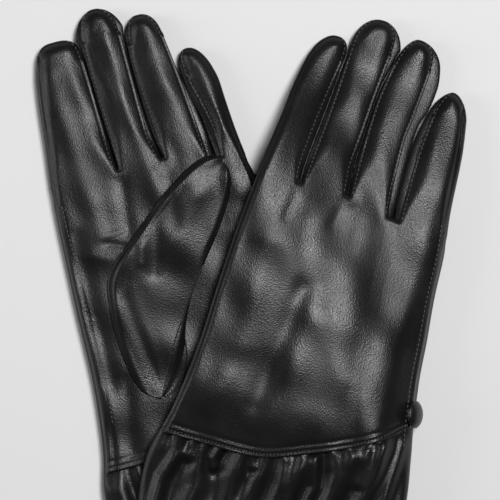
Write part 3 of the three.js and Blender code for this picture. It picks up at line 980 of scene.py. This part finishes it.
def make_binding(glove):
    """A narrow folded band round the cuff's mouth."""
    loop = []
    for face in (1, -1):
        v = np.full(90, CUFF_END + 1.5)
        low, high = both_sides(glove, v)
        u = lerp(low, high, (spread(90) * 0.5 + np.linspace(-1, 1, 90) * 0.5 + 1) / 2)
        h = cuff_height(glove, u, v, face) - face * LEATHER / 2
        run = np.stack([u, h], -1)
        loop.append(run if face > 0 else run[::-1][1:-1])
    loop = np.concatenate(loop)
    ahead = np.roll(loop, -1, 0) - np.roll(loop, 1, 0)
    normal = np.stack([-ahead[:, 1], ahead[:, 0]], -1)
    normal /= np.linalg.norm(normal, axis=1, keepdims=True)
    section = [(math.cos(a), math.sin(a)) for a in np.linspace(0, 2 * math.pi, 16, endpoint=False)]
    vertices, faces = [], []
    for c, s in section:
        reach = 1.15 * np.sign(c) * abs(c) ** 0.7
        along = CUFF_END + BINDING_WIDTH / 2 + BINDING_WIDTH / 2 * np.sign(s) * abs(s) ** 0.7
        offset = loop + normal * reach
        h = np.maximum(offset[:, 1], 0.05 - HAND_HALF)
        vertices.append(place(glove, offset[:, 0], np.full(len(loop), along), h))
    count = len(loop)
    for k in range(len(section)):
        for i in range(count):
            j, m = (i + 1) % count, (k + 1) % len(section)
            faces.append((k * count + i, k * count + j, m * count + j, m * count + i))
    piece = new_object(f"{glove['name']}_cuff_binding_leather", np.concatenate(vertices), faces)
    finish_piece(piece, "binding_leather", [f"{glove['name']}_cuff_binding"])
    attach(piece, f"{glove['name']}_hand")


def make_hand_stitches(glove):
    """The hem's stitch row, and the row beside the side seam."""
    u = np.linspace(-55, 55, 160)
    v = hem_at(u) + 1.5
    edge_height = WALL_HALF + LEATHER
    fold = hem_fold(glove, u, v)
    hem = sew(glove, "hem_stitches", u, v, edge_height, fold, pitch=1.6, length=1.7, overcast=True)
    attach(hem, f"{glove['name']}_hand")
    v = np.linspace(12, 116, 200)
    edge, inward = seam_edge(glove, v)
    u = edge + inward * (side_seam_inset(glove, v) + 1.1)
    row = sew(glove, "side_stitches", u, v, edge_height)
    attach(row, f"{glove['name']}_hand")


# ------------------------------------------------------------------ thumb

THUMB_OUTER = [[-22.5, 17.6], [-29.6, 25], [-33, 44], [-32.3, 64], [-28.4, 79], [-15.5, 90.6],
               [4, 106], [17.5, 115], [28, 119.2], [34.5, 118.4], [37.4, 114.6]]
THUMB_INNER = [[-20.5, 17.4], [-15.5, 27], [-7.5, 41], [2.3, 54.5], [10, 64.5], [17.5, 74],
               [26.5, 85], [33.5, 95], [37.8, 103.5], [38.8, 110], [37.5, 114.4]]
GUSSET_SEAM = [[-19.5, 17.2], [-13.8, 18.8], [-8.6, 23], [-4.4, 32], [-2.2, 43], [3, 55], [10, 66]]
THUMB_SWING_AT = 0.5
THUMB_RELIEF = [
    [-28.5, 66, -22.5, 22, 2.2, 0.18], [-24.5, 66, -19.5, 24, 2.2, -0.2], [-19.5, 70, -17, 28, 2.4, 0.2],
    [-12, 80, -10, 87, 1.8, 0.6], [-18, 86, -26, 76, 3.0, 0.5], [-8, 74, -2, 90, 3.0, -0.7],
    [6, 88, 24, 104, 5.0, 0.5], [-2, 96, 14, 108, 3.0, -0.5],
]


def thumb_plan(along, across):
    outer, inner = spline(THUMB_OUTER, along), spline(THUMB_INNER, along)
    mix = ((across + 1) / 2)[None, :, None]
    plan = outer[:, None, :] * (1 - mix) + inner[:, None, :] * mix
    width = np.linalg.norm(inner - outer, axis=1)[:, None]
    return plan[..., 0], plan[..., 1], width


def palm_height(glove, u, v):
    face = 1 if glove["palm_up"] else -1
    return np.abs(surface(glove, u, v, WALL_HALF + LEATHER, face))


def thumb_height(u, v, width, along, across, front):
    """Height of the thumb above the palm, for its front (away from the palm) or its back."""
    along = along[:, None]
    from_outer = width * (1 + across[None, :]) / 2
    from_inner = width * (1 - across[None, :]) / 2
    crown = THUMB_HEIGHT * smoothstep(along, -0.2, 0.6) * (1 - 0.12 * smoothstep(along, 0.7, 1))
    crown = crown - 0.08 * from_outer
    middle = crown * 0.48
    to_tip = np.hypot(u - 37.5, v - 114.5)
    free = smoothstep(along, 0.40, 0.52)
    floor = lerp(0.0, middle, free)
    at_outer = floor + rounded_side(from_outer, crown - floor, lerp(4.4, 3.6, free))
    at_inner = middle + rounded_side(from_inner, crown - middle, 3.4)
    at_tip = middle + rounded_side(to_tip, crown - middle, 7)
    top = np.minimum(np.minimum(at_outer, at_inner), at_tip)
    if front:
        soft = smoothstep(np.minimum(from_outer, from_inner), 0.8, 6)
        return top + soft * ridges_at(THUMB_RELIEF, u, v)
    return np.maximum(2 * middle - top, 0.35)


def thumb_points(glove, along, across, front):
    u, v, width = thumb_plan(along, across)
    height = palm_height(glove, u, v) + thumb_height(u, v, width, along, across, front)
    facing = 1 if glove["palm_up"] else -1
    return place(glove, u, v, facing * height)


def make_thumb(glove):
    """The thumb: a sewn dome over the thumb hole, then a tube that swings off the palm."""
    facing = 1 if glove["palm_up"] else -1
    across = spread(45)
    name = glove["name"]
    base = thumb_points(glove, np.linspace(0.0, THUMB_SWING_AT, 70), across, True)
    seam_normals = grid_normals(thumb_points(
        glove, THUMB_SWING_AT + np.array([-0.006, 0, 0.006]), across, True))[1]
    if np.mean(seam_normals[:, 2]) * facing < 0:
        seam_normals = -seam_normals
    piece = shell(f"{name}_thumb_base_leather", base, UP * facing, last_normals=seam_normals)
    finish_piece(piece, "leather", [f"{name}_thumb_base"])
    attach(piece, f"{name}_hand")
    tip_steps = 1 - (1 - np.linspace(0, 1, 70)) ** 1.6
    along = lerp(THUMB_SWING_AT, 0.998, tip_steps)
    for front, part in ((True, "front"), (False, "back")):
        points = thumb_points(glove, along, across, front)
        first = seam_normals if front else None
        sense = facing if front else -facing
        piece = shell(f"{name}_thumb_{part}_leather", points, UP * sense, first_normals=first)
        finish_piece(piece, "leather", [f"{name}_thumb_{part}"])
        bend_thumb(piece, glove)


def bend_thumb(piece, glove):
    outer = spline(THUMB_OUTER, np.array([THUMB_SWING_AT]))[0]
    inner = spline(THUMB_INNER, np.array([THUMB_SWING_AT]))[0]
    edge = inner - outer
    ahead = np.array([-edge[1], edge[0]]) / np.linalg.norm(edge)
    start = place(glove, *(outer + ahead * 0.1), 0.0)
    end = place(glove, *(outer + ahead * 16), 0.0)
    end[2] = start[2]
    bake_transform(piece)


def make_gusset(glove):
    """The wedge between the thumb's inner edge and the oval seam in the palm."""
    facing = 1 if glove["palm_up"] else -1
    along = np.linspace(0.02, 0.98, 50)
    across = np.linspace(0, 1, 16)
    outer = spline(GUSSET_SEAM, along)
    inner = spline(THUMB_INNER, along * THUMB_SWING_AT * 0.97)
    mix = across[None, :, None]
    plan = inner[:, None, :] * (1 - mix) + outer[:, None, :] * mix
    u, v = plan[..., 0], plan[..., 1]
    crown = THUMB_HEIGHT * smoothstep(along * THUMB_SWING_AT, -0.12, 0.42)[:, None] * 0.45
    drop = (1 - across[None, :]) ** 2
    fold = 0.5 * np.sin(across * math.pi * 2)[None, :]
    height = palm_height(glove, u, v) + 0.25 + crown * drop + fold * np.sin(along * math.pi)[:, None]
    points = place(glove, u, v, facing * height)
    piece = shell(f"{glove['name']}_thumb_gusset_leather", points, UP * facing, WALL_LEATHER)
    finish_piece(piece, "leather", [f"{glove['name']}_thumb_gusset"])
    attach(piece, f"{glove['name']}_hand")


# ------------------------------------------------------------------ covered button


# The cap's outline as (radius, height over the joint), from the crown round the rim to the underside.
BUTTON_PROFILE = [(0.0, 3.95), (1.6, 3.88), (3.2, 3.62), (4.6, 3.1), (5.6, 2.45), (6.25, 1.8),
                  (6.35, 1.25), (5.9, 0.95), (5.0, 0.95), (3.0, 1.0), (0.0, 1.0)]
TUCKS = 17
TUCK_DEPTH = 0.12


def make_button(glove):
    """A domed button covered in leather, with the leather's edge gathered under its rim."""
    name = glove["name"]
    joint = next(j for j in frame["joints"] if j["name"] == f"{name}_button_turn")
    axis = np.array(joint["axis"], float)
    axis /= np.linalg.norm(axis)
    side = np.cross(axis, UP)
    side /= np.linalg.norm(side)
    other = np.cross(axis, side)
    base = np.array(joint["pos_m"], float)
    steps = 60
    dense = [np.array(BUTTON_PROFILE[0])]
    for a, b in zip(BUTTON_PROFILE[:-1], BUTTON_PROFILE[1:]):
        dense += [lerp(np.array(a), np.array(b), t) for t in (0.5, 1.0)]
    vertices = [base + axis * dense[0][1] * MM]
    for radius, height in dense[1:-1]:
        for k in range(steps):
            angle = 2 * math.pi * k / steps
            at_rim = float(smoothstep(radius, 4.5, 6.2)) * (height < 1.9)
            tuck = TUCK_DEPTH * math.sin(angle * TUCKS) * at_rim
            spoke = side * math.cos(angle) + other * math.sin(angle)
            vertices.append(base + axis * height * MM + (radius + tuck) * MM * spoke)
    vertices.append(base + axis * dense[-1][1] * MM)
    faces = [(face[0], *face[:0:-1]) for face in ring_faces(len(dense) - 2, steps)]
    piece = new_object(f"{name}_button_cap_leather", vertices, faces)
    finish_piece(piece, "button_leather", [f"{name}_button_cap"])
    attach(piece, f"{name}_button")
    for node, slot in (("button_back", "button_metal"), ("button_thread", "thread")):
        frame["nodes"][f"{name}_{node}"].data.materials.clear()
        frame["nodes"][f"{name}_{node}"].data.materials.append(MATERIALS[slot])


# ------------------------------------------------------------------ the pair

for glove in (LEFT, RIGHT):
    make_fingers(glove)
    for face in (1, -1):
        make_hand_face(glove, face)
        make_cuff_face(glove, face)
    make_linings(glove)
    make_binding(glove)
    make_hand_stitches(glove)
    make_thumb(glove)
    make_gusset(glove)
    make_button(glove)

# ------------------------------------------------------------------ table, light and camera


def make_table():
    bpy.ops.mesh.primitive_plane_add(size=6, location=(0, 0, -0.0004))
    table = bpy.context.object
    table.name = "table"
    material, _, _, shader = node_material("table_paper")
    shader.inputs["Base Color"].default_value = (0.84, 0.84, 0.84, 1)
    shader.inputs["Roughness"].default_value = 0.9
    shader.inputs["Specular IOR Level"].default_value = 0.1
    table.data.materials.append(material)


def soft_light(name, at, towards, width, length, power):
    """A rectangular softbox that faces a point."""
    light = bpy.data.lights.new(name, "AREA")
    light.shape = "RECTANGLE"
    light.size, light.size_y = width, length
    light.energy = power
    lamp = bpy.data.objects.new(name, light)
    bpy.context.scene.collection.objects.link(lamp)
    lamp.location = at
    lamp.rotation_euler = (Vector(towards) - Vector(at)).to_track_quat("-Z", "Y").to_euler()


def make_lights():
    """A key light over the upper right and a weak, low fill on the left, in a dim room."""
    world = bpy.data.worlds.new("studio")
    world.use_nodes = True
    world.node_tree.nodes["Background"].inputs["Color"].default_value = (1, 1, 1, 1)
    world.node_tree.nodes["Background"].inputs["Strength"].default_value = 0.08
    bpy.context.scene.world = world
    soft_light("key", (0.30, 0.30, 1.28), (0, 0.02, 0), 0.28, 0.42, 14.5)
    soft_light("fill", (-1.0, 0.10, 0.45), (0, 0.02, 0), 0.3, 0.8, 3)


VIEW_CENTRE = (-0.0010, 0.0300, 0.008)
VIEW_WIDTH = 0.2326
CAMERA_HEIGHT = 1.1


def make_camera():
    camera = bpy.data.cameras.new("camera")
    camera.sensor_width = 36
    camera.lens = 36 * (CAMERA_HEIGHT - VIEW_CENTRE[2]) / VIEW_WIDTH
    view = bpy.data.objects.new("camera", camera)
    bpy.context.scene.collection.objects.link(view)
    view.location = (VIEW_CENTRE[0], VIEW_CENTRE[1], CAMERA_HEIGHT)
    bpy.context.scene.camera = view
    bpy.context.scene.view_settings.view_transform = "Standard"


make_table()
make_lights()
make_camera()
